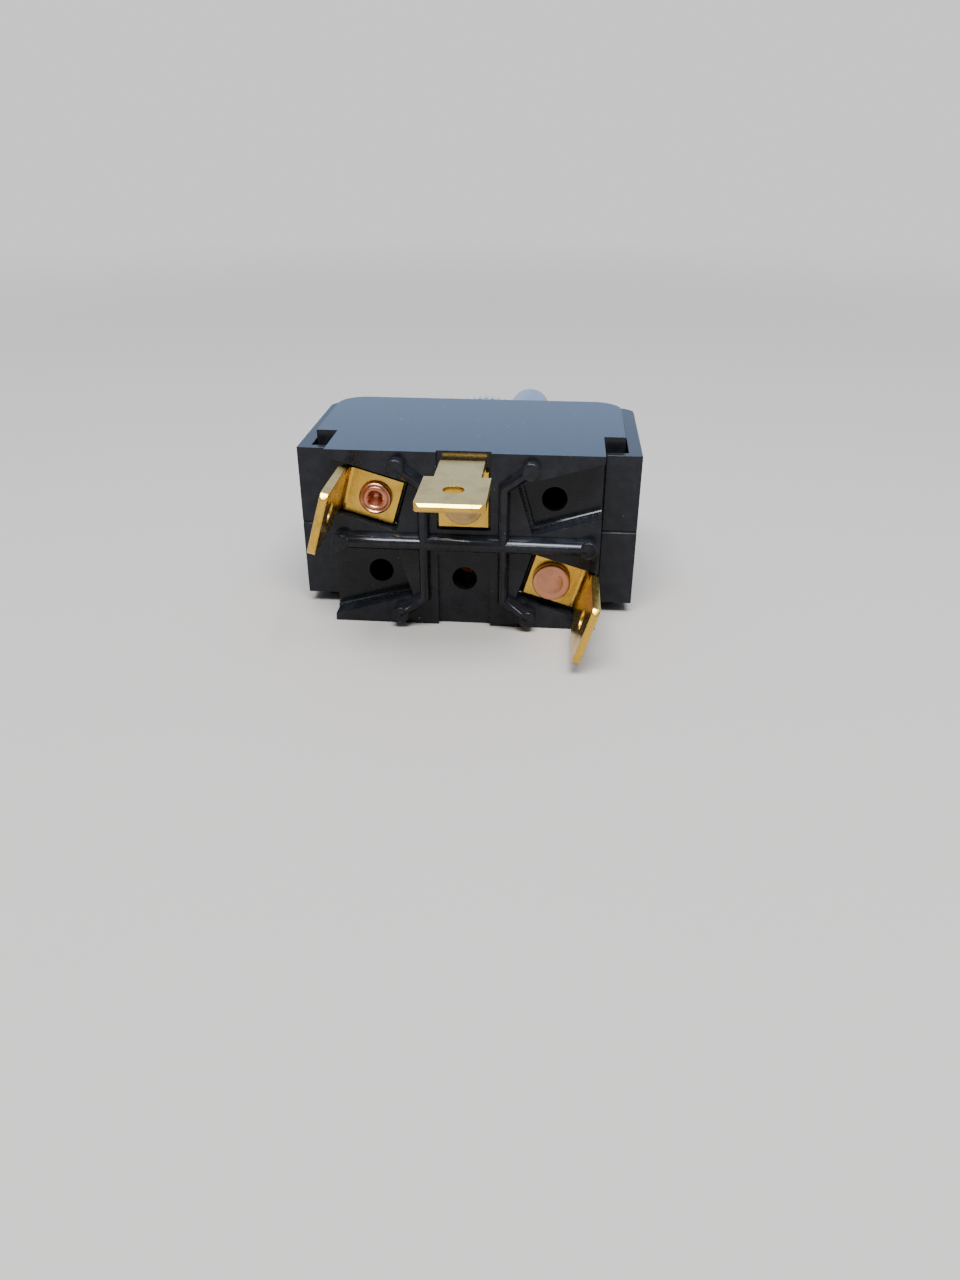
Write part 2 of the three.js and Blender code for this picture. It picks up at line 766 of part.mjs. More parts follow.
const fixed = new THREE.Group();
fixed.add(
  piece("terminal_base", terminalBase(), colours.moulding, 0.35, 0),
  piece("mounting_frame", mountingFrame(), colours.coatedSteel, 0.4, 0.2),
  piece("insulator_sheet", insulatorSheet(), colours.paper, 0.8, 0),
  piece("bushing", bushing(), colours.steel, 0.3, 1),
  piece("lever_pivot_pin", leverPivotPin(), colours.steel, 0.3, 1),
  piece("locating_washer", locatingWasher(), colours.steel, 0.35, 1),
  piece("lock_washer", lockWasher(), colours.steel, 0.35, 1),
  piece("hex_nut", hexNut(), colours.steel, 0.3, 1),
  piece("face_nut", faceNut(), colours.steel, 0.3, 1),
  piece("fixed_strip_left", fixedStrip(-1), colours.copper, 0.35, 1),
  piece("fixed_strip_right", fixedStrip(1), colours.copper, 0.35, 1),
  piece("fixed_contact_left", fixedContact(-1), colours.silver, 0.3, 1),
  piece("fixed_contact_right", fixedContact(1), colours.silver, 0.3, 1),
  piece("fulcrum_bracket", fulcrumBracket(), colours.brass, 0.35, 1),
  piece("terminal_left", sideTerminal(-1), colours.brass, 0.3, 1),
  piece("terminal_centre", centreTerminal(), colours.brass, 0.3, 1),
  piece("terminal_right", sideTerminal(1), colours.brass, 0.3, 1),
  piece(
    "rivet_left",
    rivet({ plate: sidePlate, headRadius: 1.68, headHeight: 0.6, dimple: 0.62, column: -1, up: 1 }),
    colours.copper,
    0.3,
    1,
  ),
  piece(
    "rivet_centre",
    rivet({ plate: centrePlate, headRadius: 2.0, headHeight: 0.5, dimple: 0, column: 0, up: 1 }),
    colours.bronze,
    0.35,
    1,
  ),
  piece(
    "rivet_right",
    rivet({ plate: sidePlate, headRadius: 1.97, headHeight: 0.8, dimple: 0, column: 1, up: -1 }),
    colours.copper,
    0.35,
    1,
  ),
);

const leverGroup = new THREE.Group();
leverGroup.position.set(0, pivotY, 0);
leverGroup.rotation.z = -leverTilt;
leverGroup.add(
  piece("toggle_lever", toggleLever(), colours.lever, 0.3, 1),
  piece("plunger_spring", plungerSpring(), colours.steel, 0.3, 1),
  piece("plunger", plunger(), colours.nylon, 0.5, 0),
);

const rockerGroup = new THREE.Group();
rockerGroup.position.set(0, rockerPivotY, 0);
rockerGroup.rotation.z = rockerTilt;
rockerGroup.add(
  piece("contact_rocker", contactRocker(), colours.copper, 0.35, 1),
  piece("moving_contact_left", contactButton(rockerThickness, contactPlace(-1)), colours.silver, 0.3, 1),
  piece("moving_contact_right", contactButton(rockerThickness, contactPlace(1)), colours.silver, 0.3, 1),
);

const toggleSwitch = new THREE.Group();
toggleSwitch.add(fixed, leverGroup, rockerGroup);
toggleSwitch.updateMatrixWorld(true);
const bounds = new THREE.Box3().setFromObject(toggleSwitch, true);
const middle = bounds.getCenter(new THREE.Vector3());
toggleSwitch.position.set(-middle.x, -middle.y, -bounds.min.z);

export default toggleSwitch;
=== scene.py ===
"""Enclosed toggle switch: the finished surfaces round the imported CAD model, with its stage."""
import json
import math

import bmesh
import bpy
from bpy.props import FloatProperty, FloatVectorProperty, IntProperty, PointerProperty
from mathutils import Matrix, Vector


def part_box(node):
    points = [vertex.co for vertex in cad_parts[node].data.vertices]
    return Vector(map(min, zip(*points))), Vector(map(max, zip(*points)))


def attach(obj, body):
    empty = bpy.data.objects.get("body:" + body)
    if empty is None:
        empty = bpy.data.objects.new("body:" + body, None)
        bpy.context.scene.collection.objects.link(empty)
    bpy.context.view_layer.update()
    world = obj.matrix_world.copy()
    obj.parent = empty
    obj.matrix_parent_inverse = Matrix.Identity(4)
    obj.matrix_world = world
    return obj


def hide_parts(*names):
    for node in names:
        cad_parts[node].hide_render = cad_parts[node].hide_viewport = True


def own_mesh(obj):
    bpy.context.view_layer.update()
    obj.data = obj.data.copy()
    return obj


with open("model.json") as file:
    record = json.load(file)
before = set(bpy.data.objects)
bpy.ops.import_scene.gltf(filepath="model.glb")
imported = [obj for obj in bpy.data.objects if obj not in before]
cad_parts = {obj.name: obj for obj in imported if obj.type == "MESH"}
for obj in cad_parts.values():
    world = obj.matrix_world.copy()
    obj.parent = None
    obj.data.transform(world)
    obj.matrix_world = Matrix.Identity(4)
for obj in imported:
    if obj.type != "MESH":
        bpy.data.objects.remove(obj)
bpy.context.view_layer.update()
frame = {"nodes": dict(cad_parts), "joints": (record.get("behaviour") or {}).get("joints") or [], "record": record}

bl_info = {
    "name": "Toggle Switch Maker",
    "version": (1, 0, 0),
    "blender": (4, 5, 0),
    "location": "View3D > Sidebar > Switch",
    "description": "Builds the finished pieces of a blade-terminal toggle switch round its CAD frame",
    "category": "Add Mesh",
}

MM = 0.001
RIB_HEIGHT = 1.3 * MM    # how far the ribs stand off the rear face
BASE_LOW, BASE_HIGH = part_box("terminal_base")
FRAME_LOW, FRAME_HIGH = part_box("mounting_frame")
BUSHING_LOW, BUSHING_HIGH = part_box("bushing")
JOINT = {j["name"]: j for j in frame["joints"]}
PIVOT = Vector(JOINT["lever_tilt"]["pos_m"])
LEVER_AXIS = Vector(JOINT["plunger_slide"]["axis"]).normalized()
MIDDLE_Z = (BASE_LOW.z + BASE_HIGH.z) / 2
EDGE_FACE_WIDTH = 0.13 * MM    # faces narrower than this are rounded edges, and take the wear and, on the black pieces, a painted highlight

# The rear face looks along -Y: X and Y of a flat drawing become X and Z, and its Z stands off the face.
REAR_FACE_Y = BASE_LOW.y + RIB_HEIGHT
ON_REAR_FACE = Matrix.Translation((0, REAR_FACE_Y, MIDDLE_Z)) @ Matrix.Rotation(math.radians(90), 4, "X")


def centre_of(node):
    low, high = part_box(node)
    return (low + high) / 2


# ---------------------------------------------------------------- sizes and colours a user may change


class SwitchMoulding(bpy.types.PropertyGroup):
    """Sizes and colours of the moulded base."""

    rib_height: FloatProperty(
        name="Rib Height", description="How far the ribs stand off the rear face", default=RIB_HEIGHT,
        unit="LENGTH",
    )
    edge: FloatProperty(
        name="Edge", description="Rounding of the moulded edges", default=0.15 * MM, unit="LENGTH",
    )
    fillet: FloatProperty(
        name="Fillet", description="Inner corners of the terminal pockets", default=0.4 * MM,
        unit="LENGTH",
    )
    hole_radius: FloatProperty(
        name="Hole Radius", description="Rivet holes", default=1.3 * MM, unit="LENGTH",
    )
    colour: FloatVectorProperty(
        name="Colour", description="Phenolic black", subtype="COLOR", default=(0.0055, 0.0058, 0.0072),
    )


class SwitchMetal(bpy.types.PropertyGroup):
    """Colours of the metal pieces."""

    brass: FloatVectorProperty(
        name="Brass", description="Stamped brass sheet", subtype="COLOR", default=(0.62, 0.38, 0.065),
    )
    copper: FloatVectorProperty(
        name="Copper", description="Copper rivets and strips", subtype="COLOR",
        default=(0.50, 0.225, 0.135),
    )
    bronze: FloatVectorProperty(
        name="Bronze", description="Centre rivet", subtype="COLOR", default=(0.42, 0.27, 0.12),
    )
    nickel: FloatVectorProperty(
        name="Nickel", description="Satin plate of the lever", subtype="COLOR",
        default=(0.34, 0.356, 0.38),
    )
    zinc: FloatVectorProperty(
        name="Zinc", description="Bright plate of the hardware", subtype="COLOR",
        default=(0.62, 0.63, 0.64),
    )
    sheet_edge: FloatProperty(
        name="Sheet Edge", description="Rounding of stamped edges", default=0.09 * MM, unit="LENGTH",
    )


class SwitchThread(bpy.types.PropertyGroup):
    """Sizes of the threaded parts."""

    pitch: FloatProperty(
        name="Pitch", description="One turn of the bushing's thread", default=0.794 * MM, unit="LENGTH",
    )
    depth: FloatProperty(
        name="Depth", description="Depth of the bushing's thread", default=0.42 * MM, unit="LENGTH",
    )
    knurls: IntProperty(
        name="Knurls", description="Ridges round the face nut", default=60, min=12,
    )
    spring_turns: FloatProperty(
        name="Spring Turns", description="Turns of the plunger spring", default=6.5, min=1,
    )


class SwitchStage(bpy.types.PropertyGroup):
    """Camera, floor and light."""

    lens: FloatProperty(
        name="Lens", description="Focal length in millimetres", default=26.76,
    )
    floor: FloatVectorProperty(
        name="Floor", description="Floor colour", subtype="COLOR", default=(0.255, 0.23, 0.2),
    )
    key_power: FloatProperty(
        name="Top Light", description="Power of the light above", default=12.0, subtype="POWER",
    )
    window: FloatVectorProperty(
        name="Window", description="Cool light behind", subtype="COLOR", default=(0.85, 1.2, 1.85),
        max=10.0,
    )
    ceiling: FloatVectorProperty(
        name="Ceiling", description="Light from above", subtype="COLOR", default=(2.05, 2.6, 3.8),
        max=10.0,
    )
    horizon: FloatProperty(
        name="Horizon", description="Strength of the light from the far distance", default=1.0,
    )
    room: FloatProperty(
        name="Room", description="Strength of the light from all other sides", default=0.3,
    )


# ---------------------------------------------------------------- node helpers


def add(tree, kind, values=None, **settings):
    """A new node with its settings, and a value or a link for each input named by name or number."""
    made = tree.nodes.new(kind)
    for key, value in settings.items():
        setattr(made, key, value)
    for key, value in (values or {}).items():
        if isinstance(value, bpy.types.NodeSocket):
            tree.links.new(value, made.inputs[key])
        else:
            made.inputs[key].default_value = value
    return made


def socket(tree, name, kind, default=None, output=False):
    made = tree.interface.new_socket(name=name, in_out="OUTPUT" if output else "INPUT", socket_type=kind)
    if default is not None:
        made.default_value = default
    return made


def maths(tree, operation, a, b):
    return add(tree, "ShaderNodeMath", {0: a, 1: b}, operation=operation).outputs[0]


def ramp(tree, value, low, high):
    """0 at low and 1 at high, smooth between."""
    limits = {"Value": value, "From Min": low, "From Max": high}
    return add(tree, "ShaderNodeMapRange", limits, interpolation_type="SMOOTHSTEP").outputs["Result"]


def noise(tree, place, scale, detail=2.0, roughness=0.5):
    values = {"Vector": place, "Scale": scale, "Detail": detail, "Roughness": roughness}
    return add(tree, "ShaderNodeTexNoise", values).outputs["Fac"]


def bumped(tree, height, strength):
    """A surface normal bent by a height pattern two hundredths of a millimetre deep."""
    values = {"Height": height, "Strength": strength, "Distance": 0.02 * MM}
    return add(tree, "ShaderNodeBump", values).outputs["Normal"]


# ---------------------------------------------------------------- shader groups


def fine_grain():
    """Soft mottling and a fine pimpled surface."""
    tree = bpy.data.node_groups.new("Fine Grain", "ShaderNodeTree")
    socket(tree, "Vector", "NodeSocketVector")
    socket(tree, "Scale", "NodeSocketFloat", 8.0)
    socket(tree, "Depth", "NodeSocketFloat", 0.1)
    socket(tree, "Mottle", "NodeSocketFloat", output=True)
    socket(tree, "Normal", "NodeSocketVector", output=True)
    given = add(tree, "NodeGroupInput").outputs
    slow = maths(tree, "MULTIPLY", given["Scale"], 0.12)
    mottle = noise(tree, given["Vector"], slow, 5.0, 0.6)
    pimple = noise(tree, given["Vector"], given["Scale"], 3.0)
    add(tree, "NodeGroupOutput", {"Mottle": mottle, "Normal": bumped(tree, pimple, given["Depth"])})
    return tree


def dust_specks():
    """A few small round specks, as dust or flash left on the surface."""
    tree = bpy.data.node_groups.new("Dust Specks", "ShaderNodeTree")
    socket(tree, "Vector", "NodeSocketVector")
    socket(tree, "Scale", "NodeSocketFloat", 1.2)
    socket(tree, "Size", "NodeSocketFloat", 0.06)
    socket(tree, "Mask", "NodeSocketFloat", output=True)
    given = add(tree, "NodeGroupInput").outputs
    bend = add(tree, "ShaderNodeTexNoise", {"Vector": given["Vector"], "Scale": 5.0})
    shift = add(tree, "ShaderNodeVectorMath", {0: bend.outputs["Color"], "Scale": 0.25}, operation="SCALE")
    place = add(tree, "ShaderNodeVectorMath", {0: given["Vector"], 1: shift.outputs[0]}, operation="ADD")
    cells = add(tree, "ShaderNodeTexVoronoi", {"Vector": place.outputs[0], "Scale": given["Scale"]})
    inside = maths(tree, "LESS_THAN", cells.outputs["Distance"], given["Size"])
    lot = add(tree, "ShaderNodeSeparateColor", {0: cells.outputs["Color"]}).outputs[0]
    chosen = maths(tree, "GREATER_THAN", lot, 0.55)
    add(tree, "NodeGroupOutput", {"Mask": maths(tree, "MULTIPLY", inside, chosen)})
    return tree


def edge_wear_and_highlight():
    """Where rounded edges are worn, broken up by noise; on the black pieces this mask also places a painted
    highlight.
    """
    tree = bpy.data.node_groups.new("Edge Wear And Highlight", "ShaderNodeTree")
    socket(tree, "Vector", "NodeSocketVector")
    socket(tree, "Scale", "NodeSocketFloat", 4.0)
    socket(tree, "Mask", "NodeSocketFloat", output=True)
    given = add(tree, "NodeGroupInput").outputs
    edge = add(tree, "ShaderNodeAttribute", attribute_name="rubbed_and_highlit").outputs["Fac"]
    broken = ramp(tree, noise(tree, given["Vector"], given["Scale"], 4.0), 0.45, 0.62)
    add(tree, "NodeGroupOutput", {"Mask": maths(tree, "MULTIPLY", edge, broken)})
    return tree


def drawn_metal():
    """Rolling lines, fine scratches and slow stains of sheet metal."""
    tree = bpy.data.node_groups.new("Drawn Metal", "ShaderNodeTree")
    socket(tree, "Vector", "NodeSocketVector")
    socket(tree, "Line Scale", "NodeSocketFloat", 14.0)
    socket(tree, "Depth", "NodeSocketFloat", 0.15)
    socket(tree, "Lines", "NodeSocketFloat", output=True)
    socket(tree, "Stain", "NodeSocketFloat", output=True)
    socket(tree, "Normal", "NodeSocketVector", output=True)
    given = add(tree, "NodeGroupInput").outputs
    pull = add(tree, "ShaderNodeMapping", {"Vector": given["Vector"], "Scale": (1.0, 0.06, 1.0)})
    lines = noise(tree, pull.outputs[0], given["Line Scale"], 6.0, 0.7)
    slant = {"Vector": given["Vector"], "Rotation": (0.4, 0.9, 0.6), "Scale": (0.05, 1.0, 0.6)}
    across = add(tree, "ShaderNodeMapping", slant)
    scratch = ramp(tree, noise(tree, across.outputs[0], given["Line Scale"]), 0.66, 0.72)
    height = maths(tree, "SUBTRACT", lines, maths(tree, "MULTIPLY", scratch, 0.6))
    stain = noise(tree, given["Vector"], 0.45, 5.0, 0.62)
    bend = bumped(tree, height, given["Depth"])
    add(tree, "NodeGroupOutput", {"Lines": lines, "Stain": stain, "Normal": bend})
    return tree


GROUPS = {}


def group(tree, maker, values):
    """A shader group, built once, placed in a material with its own values."""
    if maker.__name__ not in GROUPS:
        GROUPS[maker.__name__] = maker()
    return add(tree, "ShaderNodeGroup", values, node_tree=GROUPS[maker.__name__]).outputs


# ---------------------------------------------------------------- materials


def blank_material(name, settings):
    """A material with one Principled shader, its tree, and object coordinates in millimetres."""
    material = bpy.data.materials.new(name)
    material.use_nodes = True
    tree = material.node_tree
    tree.nodes.clear()
    shader = add(tree, "ShaderNodeBsdfPrincipled", settings)
    add(tree, "ShaderNodeOutputMaterial", {"Surface": shader.outputs["BSDF"]})
    place = add(tree, "ShaderNodeTexCoord").outputs["Object"]
    scaled = add(tree, "ShaderNodeMapping", {"Vector": place, "Scale": (1 / MM, 1 / MM, 1 / MM)})
    return material, tree, shader, scaled.outputs["Vector"]


def mixed(tree, factor, a, b):
    """Colour a where factor is 0, colour b where it is 1."""
    made = add(tree, "ShaderNodeMix", {"Factor": factor}, data_type="RGBA")
    for index, value in ((6, a), (7, b)):
        if isinstance(value, bpy.types.NodeSocket):
            tree.links.new(value, made.inputs[index])
        else:
            made.inputs[index].default_value = (*value, 1.0)
    return made.outputs[2]


def tint(colour, factor):
    return tuple(min(1.0, c * factor) for c in colour)


def moulded_black(name, colour, rough_low, rough_high, specks):
    """Black phenolic or paint: satin, faintly mottled, with dust, and pale edges that are partly wear and partly a
    painted highlight.
    """
    material, tree, shader, place = blank_material(name, {"IOR": 1.5, "Specular IOR Level": 0.22})
    grain = group(tree, fine_grain, {"Vector": place, "Scale": 7.0, "Depth": 0.012})
    dust = group(tree, dust_specks, {"Vector": place, "Scale": 0.9, "Size": specks})
    worn_and_highlit = group(tree, edge_wear_and_highlight, {"Vector": place, "Scale": 6.0})
    body = mixed(tree, ramp(tree, grain["Mottle"], 0.35, 0.7), tint(colour, 0.8), tint(colour, 1.5))
    # painted highlight: the pale grey (0.2, 0.21, 0.23) on the narrow edge faces stands in for light glinting
    # along the moulded edges, broken up by noise like wear
    rubbed_and_highlit = mixed(tree, maths(tree, "MULTIPLY", worn_and_highlit["Mask"], 0.14), body, (0.2, 0.21, 0.23))
    dusty = mixed(tree, maths(tree, "MULTIPLY", dust["Mask"], 0.35), rubbed_and_highlit, (0.3, 0.3, 0.3))
    rough = {"Value": grain["Mottle"], "To Min": rough_low, "To Max": rough_high}
    tree.links.new(dusty, shader.inputs["Base Color"])
    tree.links.new(add(tree, "ShaderNodeMapRange", rough).outputs[0], shader.inputs["Roughness"])
    tree.links.new(grain["Normal"], shader.inputs["Normal"])
    return material


def sheet_metal(name, colour, rough_low, rough_high, depth=0.06, stain=0.3, lines=14.0):
    """Bare or plated metal with rolling lines, light stains and brighter worn edges."""
    material, tree, shader, place = blank_material(name, {"Metallic": 1.0})
    metal = group(tree, drawn_metal, {"Vector": place, "Line Scale": lines, "Depth": depth})
    worn_and_highlit = group(tree, edge_wear_and_highlight, {"Vector": place, "Scale": 3.0})
    stained = mixed(tree, ramp(tree, metal["Stain"], 0.45, 0.75), colour, tint(colour, 1.0 - stain))
    bright = mixed(tree, maths(tree, "MULTIPLY", worn_and_highlit["Mask"], 0.6), stained, tint(colour, 1.25))
    mean = maths(tree, "MULTIPLY", maths(tree, "ADD", metal["Lines"], metal["Stain"]), 0.5)
    rough = {"Value": mean, "From Min": 0.3, "From Max": 0.7, "To Min": rough_low, "To Max": rough_high}
    tree.links.new(bright, shader.inputs["Base Color"])
    tree.links.new(add(tree, "ShaderNodeMapRange", rough).outputs[0], shader.inputs["Roughness"])
    tree.links.new(metal["Normal"], shader.inputs["Normal"])
    return material


def pale_plastic(name, colour, roughness):
    """Nylon or fibre: matt, faintly cloudy."""
    material, tree, shader, place = blank_material(name, {"Roughness": roughness})
    grain = group(tree, fine_grain, {"Vector": place, "Scale": 5.0, "Depth": 0.2})
    cloudy = mixed(tree, grain["Mottle"], tint(colour, 0.8), tint(colour, 1.1))
    tree.links.new(cloudy, shader.inputs["Base Color"])
    tree.links.new(grain["Normal"], shader.inputs["Normal"])
    return material


MATERIALS = {}


def make_materials(scene):
    moulding, metal = scene.switch_moulding, scene.switch_metal
    MATERIALS.update(
        moulding=moulded_black("Black Moulding", tuple(moulding.colour), 0.13, 0.22, 0.05),
        coated_steel=moulded_black("Coated Steel", tint(moulding.colour, 1.1), 0.26, 0.42, 0.04),
        brass=sheet_metal("Brass Sheet", tuple(metal.brass), 0.16, 0.36),
        copper=sheet_metal("Copper", tuple(metal.copper), 0.2, 0.42, stain=0.3, lines=9.0),
        bronze=sheet_metal("Bronze", tuple(metal.bronze), 0.3, 0.5, depth=0.3, lines=7.0),
        satin_nickel=sheet_metal("Satin Nickel", tuple(metal.nickel), 0.26, 0.4, depth=0.06, stain=0.1),
        plated_steel=sheet_metal("Zinc Plate", tuple(metal.zinc), 0.16, 0.34, depth=0.08, stain=0.2),
        silver=sheet_metal("Contact Silver", (0.83, 0.82, 0.79), 0.2, 0.35, stain=0.2),
        nylon=pale_plastic("Natural Nylon", (0.74, 0.71, 0.62), 0.45),
        insulating_paper=pale_plastic("Vulcanised Fibre", (0.09, 0.06, 0.04), 0.7),
    )


# ---------------------------------------------------------------- mesh helpers


def new_object(name, mesh):
    made = bpy.data.objects.new(name, mesh)
    bpy.context.scene.collection.objects.link(made)
    return made


def mesh_from(name, vertices, faces):
    mesh = bpy.data.meshes.new(name)
    mesh.from_pydata([tuple(v) for v in vertices], [], faces)
    mesh.update()
    return mesh


def point_cloud(name, points, edges=()):
    """Bare points, or a path when they have edges, for a node tree to grow on."""
    mesh = bpy.data.meshes.new(name)
    mesh.from_pydata([tuple(p) for p in points], list(edges), [])
    return new_object(name, mesh)


def box_object(name, low, high):
    made = new_object(name, bpy.data.meshes.new(name))
    shape = bmesh.new()
    bmesh.ops.create_cube(shape, size=1.0)
    size = Vector(high) - Vector(low)
    bmesh.ops.scale(shape, vec=size, verts=shape.verts)
    bmesh.ops.translate(shape, vec=Vector(low) + size / 2, verts=shape.verts)
    shape.to_mesh(made.data)
    shape.free()
    return made


def plain(source, name):
    """The object with its modifiers worked in, as a new object with a plain mesh."""
    bpy.context.view_layer.update()
    shape = source.evaluated_get(bpy.context.evaluated_depsgraph_get())
    mesh = bpy.data.meshes.new_from_object(shape)
    mesh.name = name
    bpy.data.objects.remove(source)
    return new_object(name, mesh)


def mark_edges(mesh, width, nearest):
    """Marks the narrow faces that round the edges, for the edge wear and the painted edge highlight, from a given
    Y on.
    """
    marks = mesh.attributes.new("rubbed_and_highlit", "FLOAT", "FACE")
    for polygon in mesh.polygons:
        if polygon.center.y < nearest:
            continue
        corners = [mesh.vertices[v].co for v in polygon.vertices]
        around = sum((a - b).length for a, b in zip(corners, corners[1:] + corners[:1]))
        marks.data[polygon.index].value = float(2 * polygon.area / around < width)


def finish(piece, node, body, slot_name, sharp=40.0, flat=False, edge_marks_from=-1.0):
    """Shades the piece, gives it its material, hides its CAD node and parents the piece to its body."""
    mesh = piece.data
    mesh.materials.clear()
    mesh.materials.append(MATERIALS[slot_name])
    for polygon in mesh.polygons:
        polygon.use_smooth = True
        polygon.material_index = 0
    mesh.set_sharp_from_angle(angle=math.radians(sharp))
    if flat:
        mark_edges(mesh, EDGE_FACE_WIDTH, edge_marks_from)
        weighted = piece.modifiers.new("normals", "WEIGHTED_NORMAL")
        weighted.weight = 100
        weighted.keep_sharp = True
        piece = plain(piece, piece.name)
    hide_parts(node)
    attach(piece, body)


def cleaned_copy(node, name):
    """A copy of a CAD node's mesh with its loose triangles merged into whole flat faces."""
    made = new_object(name, frame["nodes"][node].data.copy())
    tidy(made.data)
    return made


def tidy(mesh):
    """Merges doubled points and dissolves the lines inside flat faces."""
    shape = bmesh.new()
    shape.from_mesh(mesh)
    bmesh.ops.remove_doubles(shape, verts=shape.verts, dist=0.002 * MM)
    bmesh.ops.dissolve_limit(shape, angle_limit=math.radians(0.6), verts=shape.verts, edges=shape.edges)
    shape.to_mesh(mesh)
    shape.free()


def joined(target, extra):
    """Adds the extra object's mesh to the target's."""
    shape = bmesh.new()
    shape.from_mesh(target.data)
    shape.from_mesh(extra.data)
    shape.to_mesh(target.data)
    shape.free()
    bpy.data.objects.remove(extra)


def set_down(piece, place):
    """Works a placement into the mesh, so that the object itself stays at the origin."""
    piece.data.transform(place)
    piece.data.update()


def cut(target, cutter, operation="DIFFERENCE"):
    """Cuts the cutter out of the target, or joins it on, and removes the cutter."""
    step = target.modifiers.new("cut", "BOOLEAN")
    step.operation = operation
    step.solver = "EXACT"
    step.object = cutter
    made = plain(target, target.name + "_cut")
    bpy.data.objects.remove(cutter)
    return made


def rounded(source, name, width, segments=2, limit=28.0):
    """Rounds every edge sharper than the limit."""
    step = source.modifiers.new("edges", "BEVEL")
    step.width = width
    step.segments = segments
    step.limit_method = "ANGLE"
    step.angle_limit = math.radians(limit)
    step.use_clamp_overlap = True
    step.miter_outer = "MITER_ARC"
    return plain(source, name)


def revolve(name, profile, place, segments=64, radius_at=None):
    """A closed body of revolution about local Y, from (radius, y) pairs from axis to axis or round a ring."""
    rings, vertices = [], []
    for row, (r, y) in enumerate(profile):
        if r < 1e-9:
            rings.append([len(vertices)])
            vertices.append(place @ Vector((0, y, 0)))
            continue
        ring = []
        for k in range(segments):
            a = 2 * math.pi * k / segments
            at = radius_at(row, r, y, a) if radius_at else r
            ring.append(len(vertices))
            vertices.append(place @ Vector((at * math.sin(a), y, at * math.cos(a))))
        rings.append(ring)
    closed = len(rings[0]) > 1
    pairs = list(zip(rings, rings[1:])) + ([(rings[-1], rings[0])] if closed else [])
    faces = []
    for low, high in pairs:
        for k in range(segments):
            n = (k + 1) % segments
            corners = [low[k % len(low)], low[n % len(low)], high[n % len(high)], high[k % len(high)]]
            corners = list(dict.fromkeys(corners))
            if len(corners) > 2:
                faces.append(corners)
    mesh = mesh_from(name, vertices, faces)
    shape = bmesh.new()
    shape.from_mesh(mesh)
    bmesh.ops.recalc_face_normals(shape, faces=shape.faces)
    shape.to_mesh(mesh)
    shape.free()
    return new_object(name, mesh)


def arc(radius, centre_r, centre_y, start, end, steps):
    """Points of a round stretch of a profile, angles in degrees from the +radius direction."""
    turns = [math.radians(start + (end - start) * k / steps) for k in range(steps + 1)]
    return [(centre_r + radius * math.cos(a), centre_y + radius * math.sin(a)) for a in turns]


# ---------------------------------------------------------------- geometry node trees


def output_of(tree, geometry, material):
    """Ends a tree in Realize Instances and Set Material."""
    real = add(tree, "GeometryNodeRealizeInstances", {"Geometry": geometry})
    painted = add(tree, "GeometryNodeSetMaterial", {"Geometry": real.outputs[0], "Material": material})
    add(tree, "NodeGroupOutput", {"Geometry": painted.outputs[0]})


def start_tree(name, *sizes):
    """A new tree that takes geometry, the named sizes and a material, with its input sockets."""
    tree = bpy.data.node_groups.new(name, "GeometryNodeTree")
    socket(tree, "Geometry", "NodeSocketGeometry")
    for label, default in sizes:
        socket(tree, label, "NodeSocketInt" if isinstance(default, int) else "NodeSocketFloat", default)
    socket(tree, "Material", "NodeSocketMaterial")
    socket(tree, "Geometry", "NodeSocketGeometry", output=True)
    return tree, add(tree, "NodeGroupInput").outputs


def copies(tree, points, shape, turn=(0, 0, 0)):
    """The shape on every point."""
    values = {"Points": points, "Instance": shape, "Rotation": turn}
    return add(tree, "GeometryNodeInstanceOnPoints", values).outputs[0]


def grown(source, name, tree, values):
    """The source after a node tree, as a plain object; values are given by socket name."""
    step = source.modifiers.new("grow", "NODES")
    step.node_group = tree
    for item in tree.interface.items_tree:
        if item.in_out == "INPUT" and item.name in values:
            step[item.identifier] = values[item.name]
    return plain(source, name)


def rib_tree():
    """Sweeps a domed bar along the path edges, drawn flat in X and Y with height along Z."""
    tree, given = start_tree("Rib Sweep", ("Width", 1.4 * MM), ("Height", RIB_HEIGHT))
    path = add(tree, "GeometryNodeMeshToCurve", {"Mesh": given["Geometry"]})
    upright = add(tree, "GeometryNodeSetCurveNormal", {"Curve": path.outputs[0]})
    upright.mode = "Z_UP"
    half = maths(tree, "MULTIPLY", given["Width"], 0.5)
    section = add(tree, "GeometryNodeCurvePrimitiveCircle", {"Resolution": 32, "Radius": 1.0})
    shape = add(tree, "ShaderNodeCombineXYZ", {"X": half, "Y": given["Height"], "Z": 1.0})
    domed = add(tree, "GeometryNodeTransform", {"Geometry": section.outputs[0], "Scale": shape.outputs[0]})
    swept = add(
        tree,
        "GeometryNodeCurveToMesh",
        {"Curve": upright.outputs[0], "Profile Curve": domed.outputs[0], "Fill Caps": True},
    )
    output_of(tree, swept.outputs[0], given["Material"])
    return tree


def pad_tree():
    """Puts a round ejector pad on every point."""
    tree, given = start_tree("Ejector Pads", ("Radius", 0.9 * MM), ("Height", RIB_HEIGHT))
    tall = maths(tree, "MULTIPLY", given["Height"], 2.0)
    tall = maths(tree, "SUBTRACT", tall, 0.08 * MM)
    disc = add(tree, "GeometryNodeMeshCylinder", {"Vertices": 40, "Radius": given["Radius"], "Depth": tall})
    output_of(tree, copies(tree, given["Geometry"], disc.outputs["Mesh"]), given["Material"])
    return tree


